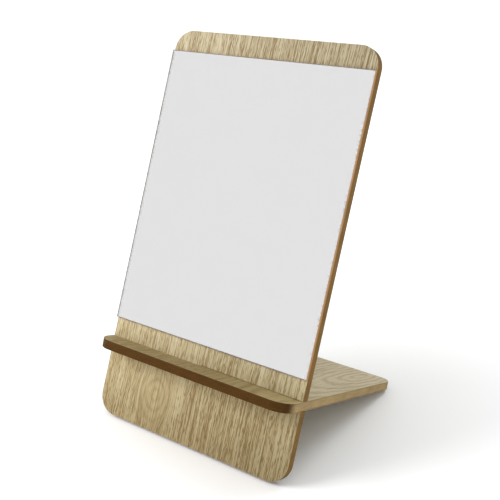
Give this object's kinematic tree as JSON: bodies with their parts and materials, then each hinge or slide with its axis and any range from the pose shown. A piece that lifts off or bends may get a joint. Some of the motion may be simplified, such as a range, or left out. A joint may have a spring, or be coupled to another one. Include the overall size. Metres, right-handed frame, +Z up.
{
  "type": "table mirror",
  "caption": "Frameless rectangular mirror on a leaning veneered back board, slotted crosswise through a square shelf board that props it up and forms a front ledge.",
  "frame": {"origin": "on the table, under the centre of the part's bounding box", "axes": "+X to the viewer's right, +Y to the rear, +Z up"},
  "size_m": [0.15, 0.1438, 0.2452],
  "materials": {
    "oak_veneer": "open-pored light oak veneer, matt lacquer",
    "fibreboard": "brown fibreboard with darkened cut edges, matt",
    "mirror_glass": "clear polished float glass",
    "mirror_silvering": "silver coating",
    "backing_paint": "grey protective paint",
    "adhesive_tape": "white double-sided tape"
  },
  "bodies": {
    "mirror_board": {"board_core": "fibreboard", "board_front_veneer": "oak_veneer", "board_rear_veneer": "oak_veneer", "mirror_glass": "mirror_glass", "mirror_silvering": "mirror_silvering", "mirror_backing_paint": "backing_paint", "mirror_tape_strips": "adhesive_tape"},
    "shelf": {"shelf_core": "fibreboard", "shelf_top_veneer": "oak_veneer", "shelf_bottom_veneer": "oak_veneer"}
  },
  "joints": [
    {"name": "shelf_slide", "type": "slide", "parent": "mirror_board", "child": "shelf", "axis": [1, 0, 0], "range_m": [0, 0.075]}
  ]
}
